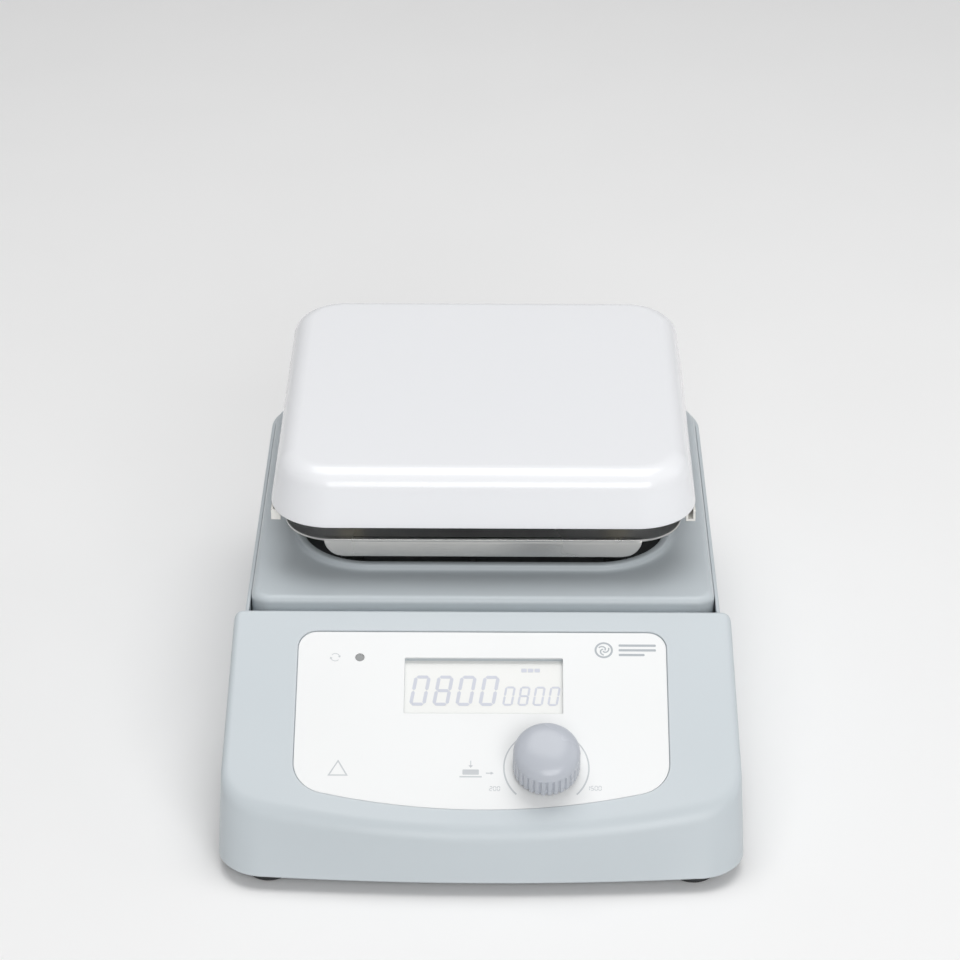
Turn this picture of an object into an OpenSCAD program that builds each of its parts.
// Benchtop magnetic stirrer: a square enamelled work plate over a motor-driven magnet,
// on a plastic housing with a sloping control console at the front.
// +X is right and +Y is the back, seen from the user's side. Z = 0 is the bench.

/* [Work plate] */
// Side of the square work plate at its rim
plate_side = 152; // [148:1:154]
// Height of the plate's top face above the bench
plate_top = 108.8; // [107:0.1:112]
// Height of the plate's skirt
plate_skirt = 20.7; // [18:0.1:21]
// Corner radius of the plate's rim
plate_corner = 22; // [18:1:26]

/* [Console] */
// Width of the console at its foot
console_w = 180; // [178:1:184]
// Height of the panel's upper edge above the bench
panel_top_z = 64.4; // [63.5:0.1:65]
// Slope of the panel to the bench, in degrees
panel_angle = 28.3; // [28:0.1:28.6]
// Radius of the rounded edge between the panel and the front face
brow_r = 8; // [6:0.5:9]

/* [Housing] */
// Overall length, from the console's front to the inlet's flange
body_l = 253; // [251:1:256]
// Width of the rear casing
casing_w = 167.4; // [166:0.2:168]
// Height of the deck around the collar
deck_z = 65.6; // [65:0.1:66.5]
// Wall thickness of the mouldings
wall = 2.5; // [2:0.1:2.8]
// Height of the rubber feet
foot_h = 5; // [4.5:0.1:5.5]

/* [Controls] */
// Radius of the speed knob
knob_r = 11.5; // [10.5:0.1:12.5]
// Grip flutes round the knob
knob_flutes = 32; // [24:1:40]
// Width of the display's window
display_w = 55; // [50:1:57]
// Height of the display's window, along the slope
display_h = 22.2; // [20:0.2:23]

/* [Drive] */
// Radius of the drive motor's can
motor_r = 21; // [18:0.5:23]
// Radius of the magnet carrier
yoke_r = 30; // [27:1:33]
// Distance from the spin axis to each magnet
magnet_offset = 19; // [17:1:20]

/* [Hidden] */
$fn = 48;

// Housing stations along Y
front_y = -body_l / 2;
flange_t = 1.5;
rear_y = body_l / 2 - flange_t;
panel_y = front_y + 82;
plate_y = front_y + 173;
deck_front_y = panel_y + 5.2;

// Plate levels
rim_z = plate_top - plate_skirt;
plate_t = 5;
plate_under = plate_top - plate_t;
boss_z = plate_under - 8;
post_xy = 48;

// Heat shield
shield_t = 0.8;
shield_z = rim_z - 7.2;
shield_hx = plate_side / 2 - 5;
shield_hy = plate_side / 2 - 5.5;
shield_r = 18;
flange_hx = 56.5;
flange_drop = 6.7;

// Collar round the opening in the deck
collar_hx = 68.5;
collar_hy = 66;
collar_r = 28;
collar_w = 3;
collar_h = 2.4;

// Chassis and motor levels
chassis_z = 59;
chassis_t = 1.5;
motor_z = 62.5;
motor_top = 80;
yoke_z = 87;
yoke_t = 3;
magnet_h = 8;
shaft_r = 3;
fit_gap = 0.05;

// Casing and cover
casing_hx = casing_w / 2;
tail_r = 25;
cover_gap = 0.3;
rim_t = 1.2;
rebate_z = 54;
casing_top = deck_z - 3.6;
cover_edge_r = 2.6;
cover_hx = casing_hx - rim_t - cover_gap;

// Label and display, measured down the slope from the panel's upper edge
foot_sag_r = 860;
label_hx = 64.2;
label_top = 9.2;
label_bottom = 79;
label_sag_r = 240;
label_low_r = 12;
label_high_r = 6.5;
label_recess = 1;
label_t = 0.6;
display_x = 0.6;
display_s = 30.7;
led_x = -42.6;
led_s = 19.6;
led_r = 1.5;
knob_x = 22.2;
knob_s = 62.8;
knob_gap = 1;
push_travel = 1.2;
board_h = 9.5;
board_t = 1.6;
board_hx = 58;
board_post = [54, 14, 74];

// Rear panel fittings
inlet_x = -45;
inlet_z = 33;
socket_z = 27;
drawer_z = 45;
drawer_clear = 0.3;
switch_x = -8;
switch_z = 33;
switch_tilt = 10;
switch_pivot_y = rear_y - 4;
bush_x = 52;
bush_z = 34;
bush_r = 4.25;
bush_l = 16;

// Fastener positions
foot_x = 72.5;
foot_front_y = front_y + 15.5;
foot_rear_y = rear_y - 22;
foot_r = 8;
pillar_x = 77;
pillar_ys = [front_y + 32, panel_y - 8, 30, 92];
pillar_r = 4;
pillar_top = 24;
pilot_r = 1.5;
power_board_c = [20, 58];
power_board_size = [104, 66];
power_board_z = 14;

// ---------- shared shapes ----------

function arc(c, r, a0, a1, n) = [
    for (i = [0:n]) let (a = a0 + (a1 - a0) * i / n) [c[0] + r * cos(a), c[1] + r * sin(a)]
];

module rrect(hx, hy, r) {
    square([2 * hx, 2 * (hy - r)], center = true);
    square([2 * (hx - r), 2 * hy], center = true);
    for (sx = [-1, 1], sy = [-1, 1]) translate([sx * (hx - r), sy * (hy - r)]) circle(r);
}

// A rectangle from y0 to y1 whose two rear corners are round
module tail2d(hx, y0, y1, r) {
    translate([-hx, y0]) square([2 * hx, y1 - r - y0]);
    translate([r - hx, y0]) square([2 * (hx - r), y1 - y0]);
    for (sx = [-1, 1]) translate([sx * (hx - r), y1 - r]) circle(r);
}

// A dished shape with round corners: profile is a half section from a corner's axis outwards
module pan(hx, hy, r, profile, z0, z1) {
    for (q = [0:3])
        let (sx = (q == 0 || q == 3) ? 1 : -1, sy = q < 2 ? 1 : -1)
            translate([sx * (hx - r), sy * (hy - r), 0])
                rotate([0, 0, 90 * q]) rotate_extrude(angle = 90) polygon(profile);
    for (q = [0, 2])
        rotate([0, 0, 90 * q]) translate([hx - r, hy - r, 0])
            rotate([90, 0, 0]) linear_extrude(2 * (hy - r)) polygon(profile);
    for (q = [1, 3])
        rotate([0, 0, 90 * q]) translate([hy - r, hx - r, 0])
            rotate([90, 0, 0]) linear_extrude(2 * (hx - r)) polygon(profile);
    translate([r - hx, r - hy, z0]) cube([2 * (hx - r), 2 * (hy - r), z1 - z0]);
}

module tube(r, bore, h) {
    difference() {
        cylinder(h = h, r = r);
        translate([0, 0, -1]) cylinder(h = h + 2, r = bore);
    }
}

module four(hx, hy) {
    for (sx = [-1, 1], sy = [-1, 1]) translate([sx * hx, sy * hy, 0]) children();
}

// A pan-head screw that stands on its head, with its shank along +Z
module screw(shank_r, length, head_r, head_h) {
    translate([0, 0, -head_h]) difference() {
        cylinder(h = head_h, r = head_r);
        for (a = [0, 90]) rotate([0, 0, a])
            translate([-head_r * 0.55, -0.4, -1]) cube([head_r * 1.1, 0.8, 1.7]);
    }
    cylinder(h = length, r = shank_r);
}

// A round lead along straight runs, with a slightly fuller ball at each bend
module lead(points, r) {
    for (i = [0:len(points) - 2])
        let (d = points[i + 1] - points[i], l = norm(d))
            translate(points[i])
                rotate([0, acos(d[2] / l), atan2(d[1], d[0])]) cylinder(h = l, r = r, $fn = 16);
    for (i = [1:len(points) - 2]) translate(points[i]) sphere(r * 1.08, $fn = 16);
}

// Children are drawn in the panel's own frame: X right, Y up the slope, Z out of the panel
module on_panel() {
    translate([0, panel_y, panel_top_z]) rotate([panel_angle, 0, 0]) children();
}

// ---------- work plate, clips, shield and their supports ----------

module work_plate() {
    edge_r = 8;
    draft = 2;
    skirt_t = 3;
    r = plate_corner;
    crest = r - draft;
    profile = concat(
        [[0, plate_under], [0, plate_top]],
        arc([crest - edge_r, plate_top - edge_r], edge_r, 90, 0, 6),
        [[r, rim_z], [r - skirt_t, rim_z], [crest - skirt_t, plate_under - 3],
         [crest - skirt_t - 3, plate_under]]
    );
    color("white") translate([0, plate_y, 0]) {
        pan(plate_side / 2, plate_side / 2, r, profile, plate_under, plate_top);
        four(post_xy, post_xy) translate([0, 0, boss_z]) difference() {
            cylinder(h = plate_under - boss_z + 0.5, r = 5.5);
            translate([0, 0, -1]) cylinder(h = 8, r = 2 + fit_gap);
        }
    }
}

// A short moulded channel under the skirt, closed at one end; the same clip serves both sides
module rim_clip() {
    w = 3.4;
    h = 4;
    l = 11;
    t = 0.8;
    color("ivory") translate([plate_side / 2 - 2 - w / 2, -62, rim_z - h]) {
        cube([w, l, t]);
        translate([w - t, 0, 0]) cube([t, l, h]);
        cube([t, l, h]);
        translate([0, l - t, 0]) cube([w, t, h]);
    }
}

module rim_clip_right() {
    translate([0, plate_y, 0]) rim_clip();
}

module rim_clip_left() {
    translate([0, plate_y - 113, 0]) rotate([0, 0, 180]) rim_clip();
}

module heat_shield() {
    hole_r = 44;
    low_r = 7;
    color("lightgray") translate([0, plate_y, shield_z - shield_t]) {
        difference() {
            linear_extrude(shield_t) rrect(shield_hx, shield_hy, shield_r);
            translate([0, 0, -1]) cylinder(h = 3, r = hole_r);
            four(post_xy, post_xy) translate([0, 0, -1]) cylinder(h = 3, r = 2.4);
        }
        for (a = [0, 180]) rotate([0, 0, a]) translate([0, shield_t - shield_hy, 0.2])
            rotate([90, 0, 0]) linear_extrude(shield_t) difference() {
                translate([-flange_hx, -flange_drop]) square([2 * flange_hx, flange_drop]);
                for (sx = [-1, 1]) translate([sx * flange_hx, -flange_drop]) difference() {
                    square(2 * low_r, center = true);
                    translate([-sx * low_r, low_r]) circle(low_r);
                }
            }
    }
}

module plate_spacers() {
    color("wheat") translate([0, plate_y, shield_z])
        four(post_xy, post_xy) tube(4.5, 2.2, boss_z - shield_z);
}

module plate_posts() {
    color("silver") translate([0, plate_y, chassis_z + chassis_t])
        four(post_xy, post_xy) tube(4, 2.2, shield_z - shield_t - chassis_z - chassis_t);
}

module plate_screws() {
    color("dimgray") translate([0, plate_y, chassis_z])
        four(post_xy, post_xy) screw(2, boss_z + 5 - chassis_z, 3.8, 2.4);
}

// ---------- housing ----------

// The cover's outline stepped in towards its top, as a rounded edge
module cover_solid(inset, z0, z1) {
    r = cover_edge_r;
    hull() {
        translate([0, 0, z0]) linear_extrude(1) cover2d(inset);
        for (i = [0:5])
            let (a = 18 * i)
                translate([0, 0, z1 - r + r * sin(a) - 0.1])
                    linear_extrude(0.1) cover2d(inset + r * (1 - cos(a)));
    }
}

module cover2d(inset) {
    y0 = deck_front_y + inset;
    y1 = rear_y - rim_t - cover_gap - inset;
    hx = cover_hx - inset;
    front_r = 7 - inset * 0.5;
    rear_r = tail_r - 1.5 - inset * 0.5;
    translate([-hx, y0 + front_r]) square([2 * hx, y1 - y0 - front_r - rear_r]);
    translate([rear_r - hx, y0 + front_r]) square([2 * (hx - rear_r), y1 - y0 - front_r]);
    translate([front_r - hx, y0]) square([2 * (hx - front_r), front_r + 1]);
    for (sx = [-1, 1]) {
        translate([sx * (hx - front_r), y0 + front_r]) circle(front_r, $fn = 32);
        translate([sx * (hx - rear_r), y1 - rear_r]) circle(rear_r, $fn = 48);
    }
}

cover_boss = [[-75, 20], [75, 20], [-75, 70], [75, 70]];
chassis_boss_x = 68.5;
chassis_boss_y = 46;

module top_cover() {
    boss_r = 3.6;
    ledge_z = 55;
    color("#b9c2c8") difference() {
        union() {
            difference() {
                cover_solid(0, rebate_z + 0.3, deck_z);
                translate([0, 0, rebate_z - 1])
                    linear_extrude(deck_z - wall - rebate_z + 1) cover2d(wall);
            }
            // raised collar round the opening
            translate([0, plate_y, deck_z - wall])
                linear_extrude(wall + collar_h) rrect(collar_hx, collar_hy, collar_r);
            // ledge that floors the channel behind the console
            translate([-(cover_hx - 8), panel_y + 0.2, ledge_z])
                cube([2 * (cover_hx - 8), deck_front_y - panel_y + 1, 1.6]);
            for (p = cover_boss) translate([p[0], p[1], 49.5])
                cylinder(h = deck_z - 1 - 49.5, r = boss_r);
            for (sx = [-1, 1], sy = [-1, 1])
                translate([sx * chassis_boss_x, plate_y + sy * chassis_boss_y, chassis_z + chassis_t])
                    cylinder(h = deck_z - 1 - chassis_z - chassis_t, r = boss_r);
        }
        translate([0, plate_y, chassis_z])
            linear_extrude(20) rrect(collar_hx - collar_w, collar_hy - collar_w, collar_r - collar_w);
        for (p = cover_boss) translate([p[0], p[1], 49]) cylinder(h = 9, r = 1.3);
        for (sx = [-1, 1], sy = [-1, 1])
            translate([sx * chassis_boss_x, plate_y + sy * chassis_boss_y, chassis_z])
                cylinder(h = 5, r = 1.3);
    }
}

module rear_casing() {
    tab_z = 46.5;
    color("#b9c2c8") difference() {
        union() {
            difference() {
                translate([0, 0, foot_h])
                    linear_extrude(casing_top - foot_h) tail2d(casing_hx, panel_y, rear_y, tail_r);
                translate([0, 0, foot_h - 1])
                    linear_extrude(casing_top)
                        tail2d(casing_hx - wall, panel_y - 1, rear_y - wall, tail_r - wall);
                translate([0, 0, rebate_z])
                    linear_extrude(20)
                        tail2d(casing_hx - rim_t, panel_y - 1, rear_y - rim_t, tail_r - rim_t);
            }
            // tabs that carry the cover's bosses
            for (p = cover_boss) translate([p[0] > 0 ? p[0] - 5 : -casing_hx + 1, p[1] - 6, tab_z])
                cube([casing_hx - 1 - abs(p[0]) + 5, 12, 3]);
            for (sx = [-1, 1], y = [pillar_ys[2], pillar_ys[3]]) pillar(sx, y, casing_hx - 1);
            translate([bush_x, rear_y - 1, bush_z]) rotate([90, 0, 0]) cylinder(h = bush_l + 2, r = 10);
        }
        for (p = cover_boss) translate([p[0], p[1], tab_z - 1]) cylinder(h = 6, r = 1.7);
        // openings for the inlet, the switch and the rod bush
        translate([inlet_x - 14, rear_y - wall - 1, inlet_z - 16.5]) cube([28, wall + 2, 33]);
        for (sx = [-1, 1]) translate([inlet_x + 19 * sx, rear_y + 1, inlet_z])
            rotate([90, 0, 0]) cylinder(h = wall + 2, r = 1.5);
        translate([switch_x - 6.5, rear_y - wall - 1, switch_z - 9.5]) cube([13, wall + 2, 19]);
        translate([bush_x, rear_y + 1, bush_z]) rotate([90, 0, 0]) cylinder(h = bush_l + 1, r = 7);
        // air slots
        for (i = [0:5]) translate([12 + i * 4.6, rear_y - wall - 1, 20]) cube([2, wall + 2, 26]);
        pillar_pilots([pillar_ys[2], pillar_ys[3]]);
    }
}

// A screw pillar joined to the side wall
module pillar(sx, y, wall_x) {
    translate([sx * pillar_x, y, foot_h + wall]) cylinder(h = pillar_top - foot_h - wall, r = pillar_r);
    translate([sx > 0 ? pillar_x : -wall_x, y - 1.2, foot_h + wall])
        cube([wall_x - pillar_x, 2.4, pillar_top - foot_h - wall]);
}

module pillar_pilots(ys) {
    for (sx = [-1, 1], y = ys) translate([sx * pillar_x, y, 0]) cylinder(h = 20, r = pilot_r);
}

// The console's outside, or its inside when inset is the wall thickness
module console_solid(inset) {
    hx = console_w / 2;
    side_top = 2.7;
    corner_r = 17;
    back_r = 4;
    brow_line = 87.9;
    brow_sag_r = 300;
    // the inside stays upright past the base pan, so that the pan slides in from below
    z0 = inset > 0 ? foot_h - 1 : foot_h;
    h0 = inset > 0 ? 4 : 1;
    top_r = max(2 - inset, 0.3);
    top_d = inset + top_r;
    top_s = top_d * (1 + sin(panel_angle)) / cos(panel_angle);
    function slope_point(x, s, d) = [
        x,
        panel_y - s * cos(panel_angle) + d * sin(panel_angle),
        panel_top_z - s * sin(panel_angle) - d * cos(panel_angle)
    ];
    hull() {
        for (sx = [-1, 1]) {
            translate([sx * (hx - corner_r), front_y + corner_r + 3.2, z0])
                cylinder(h = h0, r = corner_r - inset, $fn = 64);
            translate([sx * (hx - back_r), panel_y - back_r, z0])
                cylinder(h = h0, r = back_r - inset, $fn = 32);
            translate(slope_point(sx * (hx - side_top - top_d), top_s, top_d)) sphere(top_r, $fn = 24);
            translate(slope_point(sx * (hx - 10.5), 69.5, brow_r)) sphere(brow_r - inset, $fn = 32);
        }
        for (x = [-68:17:68]) {
            translate([x, front_y + 4 + x * x / (2 * foot_sag_r), z0])
                cylinder(h = h0, r = 4 - inset, $fn = 32);
            translate(slope_point(x, brow_line - brow_r * 0.43 - x * x / (2 * brow_sag_r), brow_r))
                sphere(brow_r - inset, $fn = 32);
        }
    }
}

module label2d(grow) {
    sag_c = label_sag_r - label_bottom;
    low_x = label_hx - label_low_r;
    low_y = sag_c - sqrt(pow(label_sag_r - label_low_r, 2) - low_x * low_x);
    turn = atan2(low_y - sag_c, low_x);
    high = [label_hx - label_high_r, -label_top - label_high_r];
    polygon(concat(
        arc(high, label_high_r + grow, 90, 0, 8),
        arc([low_x, low_y], label_low_r + grow, 0, turn, 10),
        arc([0, sag_c], label_sag_r + grow, turn, -180 - turn, 24),
        arc([-low_x, low_y], label_low_r + grow, -180 - turn, -180, 10),
        arc([-high[0], high[1]], label_high_r + grow, 180, 90, 8)
    ));
}

module display2d(grow) {
    translate([display_x, -display_s]) square([display_w + 2 * grow, display_h + 2 * grow], center = true);
}

module front_console() {
    color("#b9c2c8") difference() {
        union() {
            difference() {
                console_solid(0);
                console_solid(wall);
                // way through to the rear casing, under the back wall
                translate([-(casing_hx - wall), panel_y - wall - 3, 0])
                    cube([2 * (casing_hx - wall), wall + 5, 50]);
            }
            on_panel() for (sx = [-1, 1], s = [board_post[1], board_post[2]])
                translate([sx * board_post[0], -s, -board_h]) cylinder(h = board_h - 1.2, r = 3);
            for (sx = [-1, 1], y = [pillar_ys[0], pillar_ys[1]]) pillar(sx, y, console_w / 2 - 2.1);
        }
        on_panel() {
            translate([0, 0, -label_recess]) linear_extrude(5) label2d(0.25);
            translate([0, 0, -wall - 1]) linear_extrude(5) display2d(0);
            translate([led_x, -led_s, -wall - 1]) cylinder(h = 5, r = led_r + 0.1);
            translate([knob_x, -knob_s, -wall - 1]) cylinder(h = 5, r = 4.7);
            for (sx = [-1, 1], s = [board_post[1], board_post[2]])
                translate([sx * board_post[0], -s, -board_h - 1]) cylinder(h = 6, r = 1.1);
        }
        pillar_pilots([pillar_ys[0], pillar_ys[1]]);
    }
}

// Plan of the base: the console's foot in front and the casing's behind
module base2d(inset) {
    hx = console_w / 2 - inset;
    r = 17 - inset;
    translate([-hx, front_y + 20.2]) square([2 * hx, panel_y - inset - front_y - 20.2]);
    polygon(concat(
        [for (i = [-6:6]) [i * 12, front_y + inset + pow(i * 12, 2) / (2 * foot_sag_r)]],
        [[72, front_y + 40], [-72, front_y + 40]]
    ));
    for (sx = [-1, 1]) translate([sx * (hx - r), front_y + 3.2 + inset + r]) circle(r);
    tail2d(casing_hx - inset, panel_y - 10, rear_y - inset, tail_r - inset);
}

module base_pan() {
    inset = wall + 0.3;
    color("#8d969c") difference() {
        union() {
            translate([0, 0, foot_h]) linear_extrude(wall) base2d(inset);
            translate([power_board_c[0], power_board_c[1], foot_h])
                four(power_board_size[0] / 2 - 4, power_board_size[1] / 2 - 4)
                    cylinder(h = power_board_z - foot_h, r = 3);
        }
        for (sx = [-1, 1], y = pillar_ys) translate([sx * pillar_x, y, 0]) {
            cylinder(h = foot_h + 1.4, r = 3.4);
            cylinder(h = 20, r = 1.8);
        }
        translate([power_board_c[0], power_board_c[1], foot_h + 2])
            four(power_board_size[0] / 2 - 4, power_board_size[1] / 2 - 4) cylinder(h = 20, r = 1.1);
        for (x = [-foot_x, foot_x], y = [foot_front_y, foot_rear_y])
            translate([x, y, 0]) cylinder(h = 20, r = 1.6);
        // air slots under the motor and the power board
        for (i = [0:7], sx = [-1, 1])
            translate([sx * 30 - 14, plate_y - 30 + i * 7, 0]) cube([28, 3, 20]);
    }
}

module foot(x, y) {
    color("#2b2d2f") translate([x, y, 0]) difference() {
        union() {
            cylinder(h = 1, r1 = foot_r - 1, r2 = foot_r);
            translate([0, 0, 1]) cylinder(h = foot_h - 1, r = foot_r);
            translate([0, 0, foot_h]) cylinder(h = wall + 1.5, r = 1.55);
        }
        translate([0, 0, -1]) cylinder(h = 2.6, r = 3.4);
    }
}

module rating_plate() {
    color("silver") translate([-26, front_y + 36, foot_h - 0.3]) cube([52, 28, 0.3]);
}

// ---------- panel, display and controls ----------

module front_label() {
    color("whitesmoke") on_panel() difference() {
        translate([0, 0, -label_recess]) linear_extrude(label_t) label2d(0);
        translate([0, 0, -3]) linear_extrude(5) display2d(0);
        translate([led_x, -led_s, -3]) cylinder(h = 5, r = led_r + 0.1);
        translate([knob_x, -knob_s, -3]) cylinder(h = 5, r = 8);
    }
}

module lcd_window() {
    color("#dfe3e4") on_panel() translate([0, 0, -wall - 1.1]) linear_extrude(1.1) display2d(2.4);
}

module lcd_module() {
    color("#cfd3cf") on_panel() translate([0, 0, -6.6]) linear_extrude(2.8) display2d(3.2);
}

module lcd_frame() {
    color("white") on_panel() translate([0, 0, -board_h]) linear_extrude(board_h - 6.7) difference() {
        display2d(4);
        display2d(0);
    }
}

module stir_led() {
    color("#6f7173") on_panel() translate([led_x, -led_s, -board_h]) {
        cylinder(h = board_h - 0.6, r = led_r);
        cylinder(h = 1, r = led_r + 0.5);
    }
}

module control_board() {
    color("darkgreen") on_panel() difference() {
        translate([-board_hx, -79, -board_h - board_t]) cube([2 * board_hx, 70, board_t]);
        for (sx = [-1, 1], s = [board_post[1], board_post[2]])
            translate([sx * board_post[0], -s, -20]) cylinder(h = 20, r = 1.4);
    }
}

module control_chips() {
    color("#26282b") on_panel() translate([0, 0, -board_h - board_t]) {
        translate([-30, -60, -2]) cube([14, 14, 2]);
        translate([-6, -70, -1.6]) cube([10, 6, 1.6]);
        translate([20, -30, -1.6]) cube([9, 5, 1.6]);
        translate([-48, -40, -6]) cube([8, 20, 6]);
        translate([38, -52, -4]) cylinder(h = 4, r = 3);
    }
}

module control_board_screws() {
    color("silver") on_panel() for (sx = [-1, 1], s = [board_post[1], board_post[2]])
        translate([sx * board_post[0], -s, -board_h - board_t]) screw(1, 5, 2.3, 1.6);
}

module at_knob() {
    on_panel() translate([knob_x, -knob_s, 0]) children();
}

module encoder_body() {
    color("darkgray") at_knob() difference() {
        union() {
            translate([-7, -7, -board_h]) cube([14, 14, board_h - wall]);
            translate([0, 0, -wall]) cylinder(h = wall + 1.9, r = 4.5);
        }
        translate([0, 0, -board_h + 0.4]) cylinder(h = board_h - 4, r = 6);
        translate([0, 0, -6]) cylinder(h = 12, r = shaft_r + fit_gap);
    }
}

module encoder_nut() {
    color("gold") at_knob() {
        translate([0, 0, -label_recess]) tube(7.4, 4.6, 0.5);
        translate([0, 0, -0.5]) difference() {
            cylinder(h = 2, r = 6.9, $fn = 6);
            translate([0, 0, -1]) cylinder(h = 4, r = 4.6);
        }
    }
}

module encoder_rotor() {
    color("ivory") at_knob() translate([0, 0, -7.8]) tube(6 - fit_gap, 2 + fit_gap, 2);
}

module encoder_shaft() {
    color("silver") at_knob() {
        translate([0, 0, -7.6]) cylinder(h = 4, r = 2);
        translate([0, 0, -4.4]) cylinder(h = 15.8, r = shaft_r);
    }
}

module knob() {
    edge = knob_r - 3;
    color("#8c939b") at_knob() difference() {
        union() {
            translate([0, 0, knob_gap]) cylinder(h = 10.3, r = knob_r, $fn = 96);
            rotate_extrude($fn = 96) polygon(concat(
                [[0, knob_gap + 4], [knob_r, knob_gap + 4]],
                arc([knob_r - 2.6, 11.2], 2.6, 0, 75, 6),
                [[edge * 0.55, 14.25], [0, 14.5]]
            ));
        }
        for (i = [0:knob_flutes - 1]) rotate([0, 0, 360 * i / knob_flutes])
            translate([knob_r + 0.15, 0, 0]) cylinder(h = 11, r = 0.5, $fn = 16);
        translate([0, 0, -1]) cylinder(h = 5, r = 8.4);
        translate([0, 0, -1]) cylinder(h = 12.6, r = shaft_r + 0.02);
    }
}

// ---------- chassis and magnetic drive ----------

motor_screw_xy = 27;

module chassis_plate() {
    color("#5b5f63") translate([0, plate_y, chassis_z]) difference() {
        linear_extrude(chassis_t) rrect(71, 72, 8);
        translate([0, 0, -1]) cylinder(h = 4, r = 12);
        four(post_xy, post_xy) translate([0, 0, -1]) cylinder(h = 4, r = 2.2);
        four(motor_screw_xy, motor_screw_xy) translate([0, 0, -1]) cylinder(h = 4, r = 2);
        for (sx = [-1, 1], sy = [-1, 1]) translate([sx * chassis_boss_x, sy * chassis_boss_y, -1])
            cylinder(h = 4, r = 1.7);
        translate([-12, -62, -1]) cube([24, 10, 4]);
    }
}

module chassis_screws() {
    color("silver") translate([0, plate_y, chassis_z])
        four(chassis_boss_x, chassis_boss_y) screw(1.25, 4.8, 2.8, 1.8);
}

module motor_can() {
    color("gray") translate([0, plate_y, motor_z]) difference() {
        union() {
            linear_extrude(2) rrect(33, 33, 6);
            cylinder(h = motor_top - motor_z, r = motor_r);
        }
        translate([0, 0, 1.5]) cylinder(h = motor_top - motor_z - 3, r = motor_r - 1.5);
        translate([0, 0, -1]) cylinder(h = 30, r = 6.5);
        four(motor_screw_xy, motor_screw_xy) translate([0, 0, -1]) cylinder(h = 4, r = 1.7);
    }
}

module motor_grommets() {
    color("#222222") translate([0, plate_y, chassis_z + chassis_t])
        four(motor_screw_xy, motor_screw_xy) tube(5, 1.8, motor_z - chassis_z - chassis_t);
}

module motor_screws() {
    color("silver") translate([0, plate_y, chassis_z])
        four(motor_screw_xy, motor_screw_xy) {
            screw(1.5, 7.5, 3, 2);
            translate([0, 0, motor_z + 2 - chassis_z]) difference() {
                cylinder(h = 2.2, r = 3.2, $fn = 6);
                translate([0, 0, -1]) cylinder(h = 5, r = 1.5);
            }
        }
}

module motor_stator() {
    slots = 9;
    color("#b5651d") translate([0, plate_y, motor_z + 3]) difference() {
        cylinder(h = 12, r = motor_r - 1.6);
        translate([0, 0, -1]) cylinder(h = 14, r = 12.5);
        for (i = [0:slots - 1]) rotate([0, 0, 360 * i / slots])
            translate([12, -1, -1]) cube([4, 2, 14]);
    }
}

bearing_h = 2.4;

module bearing_upper() {
    color("silver") translate([0, plate_y, motor_top - bearing_h]) tube(6.45, shaft_r + 0.02, bearing_h);
}

module bearing_lower() {
    color("silver") translate([0, plate_y, motor_z]) tube(6.45, shaft_r + 0.02, bearing_h);
}

module motor_rotor() {
    color("#4a4d52") translate([0, plate_y, motor_z + 4]) tube(12, shaft_r + 0.02, 10);
}

module motor_shaft() {
    color("gainsboro") translate([0, plate_y, motor_z - 2.5])
        cylinder(h = yoke_z + yoke_t + 2.5 - motor_z, r = shaft_r);
}

module magnet_yoke() {
    color("#9aa0a6") translate([0, plate_y, 0]) difference() {
        union() {
            translate([0, 0, motor_top + 1.5]) cylinder(h = yoke_z - motor_top - 1.5, r = 7);
            translate([0, 0, yoke_z]) cylinder(h = yoke_t, r = yoke_r);
        }
        translate([0, 0, motor_top]) cylinder(h = 20, r = shaft_r + 0.02);
    }
}

module drive_magnets() {
    color("#3b3e43") translate([0, plate_y, yoke_z + yoke_t])
        for (sx = [-1, 1]) translate([sx * magnet_offset, 0, 0]) cylinder(h = magnet_h, r = 9);
}

// ---------- power supply and wiring ----------

module at_power_board() {
    translate([power_board_c[0], power_board_c[1], power_board_z]) children();
}

module power_board() {
    color("darkgreen") at_power_board() difference() {
        translate([-power_board_size[0] / 2, -power_board_size[1] / 2, 0])
            cube([power_board_size[0], power_board_size[1], board_t]);
        four(power_board_size[0] / 2 - 4, power_board_size[1] / 2 - 4)
            translate([0, 0, -1]) cylinder(h = 4, r = 1.4);
    }
}

module power_board_screws() {
    color("silver") at_power_board() translate([0, 0, board_t])
        four(power_board_size[0] / 2 - 4, power_board_size[1] / 2 - 4)
            mirror([0, 0, 1]) screw(1, 6, 2.4, 1.7);
}

module power_transformer() {
    color("#d8b400") at_power_board() translate([-34, -4, board_t]) {
        cube([32, 26, 4]);
        translate([3, 3, 4]) cube([26, 20, 18]);
        translate([0, 8, 8]) cube([32, 10, 10]);
    }
}

module power_capacitors() {
    color("#23345c") at_power_board() {
        translate([12, 18, board_t]) cylinder(h = 24, r = 8);
        translate([30, 18, board_t]) cylinder(h = 16, r = 5);
        translate([30, 4, board_t]) cylinder(h = 16, r = 5);
    }
}

module power_heatsink() {
    color("silver") at_power_board() translate([4, -24, board_t]) {
        cube([34, 3, 20]);
        for (i = [0:6]) translate([i * 5, 2, 2]) cube([1.5, 8, 18]);
    }
}

// A flat cable from the power board up to the control board
module ribbon_cable() {
    y0 = power_board_c[1] - power_board_size[1] / 2 + 4;
    z0 = power_board_z + board_t;
    t = 0.9;
    end_y = panel_y - 16;
    end_z = 40;
    color("gray") translate([-22, 0, 0]) rotate([90, 0, 90]) linear_extrude(20) polygon([
        [y0, z0], [y0, z0 + 9], [panel_y + 12, z0 + 9], [end_y, end_z],
        [end_y, end_z + t * 1.4], [panel_y + 12.5, z0 + 9 + t], [y0 + t, z0 + 9 + t], [y0 + t, z0]
    ]);
}

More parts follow.
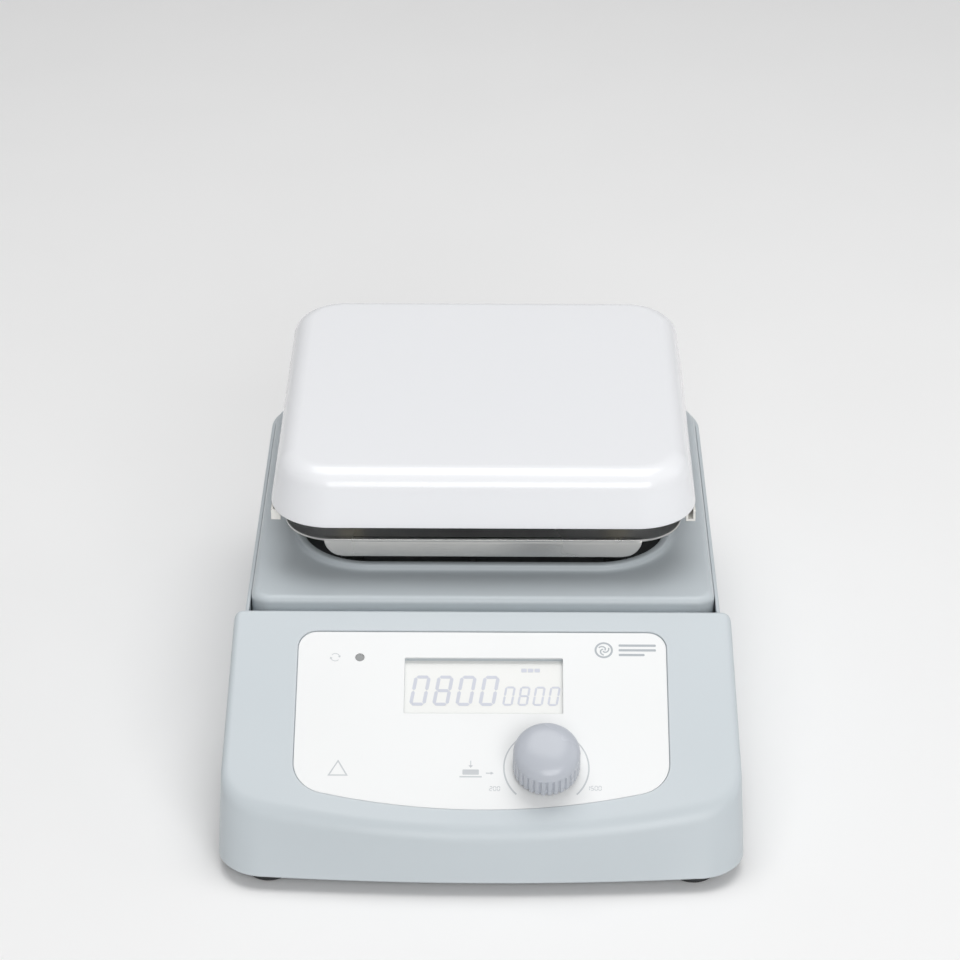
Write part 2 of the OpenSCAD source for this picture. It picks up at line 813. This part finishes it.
module motor_lead() {
    z = power_board_z + board_t;
    color("#303030") lead([
        [6, 34, z], [6, 34, 46], [-4, plate_y - 57, 46], [-4, plate_y - 57, 64],
        [-4, plate_y - 33, 64]
    ], 1.6);
}

module mains_leads() {
    color("#8a4b22") for (i = [0, 1])
        let (x = inlet_x + 7 - 14 * i, z = 11.5 - 1.5 * i, y = 74 - 5 * i)
            lead([[x, rear_y - 21, 20.5], [x, rear_y - 31, 20.5], [x, rear_y - 31, z], [x, y, z],
                  [-24, y, z], [-24, y, power_board_z]], 1.2);
}

// ---------- rear panel ----------

// Inlet socket outline, with its two lower corners cut off
module socket2d(grow) {
    w = 12.2 + grow;
    h = 8.2 + grow;
    polygon([[-w, h], [w, h], [w, -h + 4], [w - 4, -h], [4 - w, -h], [-w, -h + 4]]);
}

module facing_back(x, z) {
    translate([x, rear_y, z]) rotate([90, 0, 0]) mirror([0, 0, 1]) children();
}

module inlet_body() {
    depth = 20;
    color("#2f3133") difference() {
        union() {
            facing_back(inlet_x, inlet_z) difference() {
                linear_extrude(flange_t) rrect(25, 18, 2);
                for (sx = [-1, 1]) translate([19 * sx, 0, -1]) cylinder(h = 4, r = 1.7);
            }
            translate([inlet_x - 13.8, rear_y - depth, inlet_z - 16.3]) cube([27.6, depth, 32.6]);
        }
        facing_back(inlet_x, socket_z) translate([0, 0, -16]) linear_extrude(20) socket2d(0);
        translate([inlet_x - 10.3, rear_y - 18, drawer_z - 3.8]) cube([20.6, 20, 7.6]);
    }
}

module inlet_pins() {
    color("silver") for (p = [[-7, -2], [7, -2], [0, 2]])
        translate([inlet_x + p[0] - 1, rear_y - 26, socket_z + p[1] - 2]) cube([2, 24, 4]);
}

module inlet_screws() {
    color("silver") for (sx = [-1, 1])
        translate([inlet_x + 19 * sx, rear_y, inlet_z]) rotate([90, 0, 0]) {
            cylinder(h = 8, r = 1.4);
            translate([0, 0, -flange_t]) cylinder(h = flange_t, r = 1.65);
        }
}

module fuse_drawer() {
    w = 20.6 - 2 * drawer_clear;
    h = 7.6 - 2 * drawer_clear;
    color("#3c3e41") translate([inlet_x, rear_y, drawer_z]) difference() {
        translate([-w / 2, -17, -h / 2]) cube([w, 17 + flange_t, h]);
        translate([-8.5, -15, -2.6]) cube([17, 6, h]);
        translate([-4, 0.9, h / 2 - 1.5]) cube([8, 2, 3]);
    }
}

module fuse() {
    color("#e8eef2") translate([inlet_x - 8, rear_y - 12, drawer_z])
        rotate([0, 90, 0]) cylinder(h = 16, r = 2.4);
}

module switch_frame() {
    color("#2f3133") difference() {
        union() {
            facing_back(switch_x, switch_z) linear_extrude(flange_t) rrect(7.5, 10.5, 1);
            translate([switch_x - 6.3, rear_y - 14, switch_z - 9.3]) cube([12.6, 14, 18.6]);
        }
        translate([switch_x - 4.9, rear_y - 12, switch_z - 8.3]) cube([9.8, 20, 16.6]);
        translate([switch_x - 5.9, switch_pivot_y, switch_z]) rotate([0, 90, 0])
            cylinder(h = 11.8, r = 1.2 + fit_gap);
    }
}

// The rocker rests with its lower half pressed in
module switch_rocker() {
    color("#3c3e41") translate([switch_x, switch_pivot_y, switch_z]) rotate([switch_tilt, 0, 0]) {
        translate([-4.7, 0, 0]) rotate([90, 0, 90]) linear_extrude(9.4) polygon([
            [4.2, 7], [2.8, 0], [4.2, -7], [-1.5, -6], [-3, -1.5], [-3, 1.5], [-1.5, 6]
        ]);
        translate([-5.7, 0, 0]) rotate([0, 90, 0]) cylinder(h = 11.4, r = 1.2);
    }
}

module switch_tabs() {
    color("silver") for (dz = [-5, 0, 5])
        translate([switch_x - 2.4, rear_y - 22, switch_z + dz - 0.4]) cube([4.8, 8, 0.8]);
}

module rod_bush() {
    color("goldenrod") translate([bush_x, rear_y, bush_z]) rotate([90, 0, 0]) difference() {
        cylinder(h = bush_l, r = 7);
        translate([0, 0, -1]) cylinder(h = bush_l + 2, r = bush_r);
    }
}

// ---------- casing fasteners ----------

module cover_screws() {
    color("silver") for (p = cover_boss) translate([p[0], p[1], 46.5]) screw(1.25, 8, 2.8, 1.8);
}

module base_screws() {
    color("silver") for (sx = [-1, 1], y = pillar_ys)
        translate([sx * pillar_x, y, foot_h + 1.4]) screw(1.45, 10, 3, 1.3);
}

work_plate();
rim_clip_left();
rim_clip_right();
heat_shield();
plate_spacers();
plate_posts();
plate_screws();
top_cover();
rear_casing();
front_console();
base_pan();
front_label();
lcd_window();
lcd_module();
lcd_frame();
stir_led();
control_board();
control_chips();
control_board_screws();
encoder_body();
encoder_nut();
encoder_rotor();
encoder_shaft();
knob();
chassis_plate();
chassis_screws();
motor_can();
motor_stator();
motor_grommets();
motor_screws();
bearing_upper();
bearing_lower();
motor_rotor();
motor_shaft();
magnet_yoke();
drive_magnets();
power_board();
power_transformer();
power_capacitors();
power_heatsink();
power_board_screws();
ribbon_cable();
motor_lead();
mains_leads();
inlet_body();
inlet_pins();
inlet_screws();
fuse_drawer();
fuse();
switch_frame();
switch_rocker();
switch_tabs();
rod_bush();
cover_screws();
base_screws();
foot(-foot_x, foot_front_y);  // foot_front_left
foot(foot_x, foot_front_y);  // foot_front_right
foot(-foot_x, foot_rear_y);  // foot_rear_left
foot(foot_x, foot_rear_y);  // foot_rear_right
rating_plate();
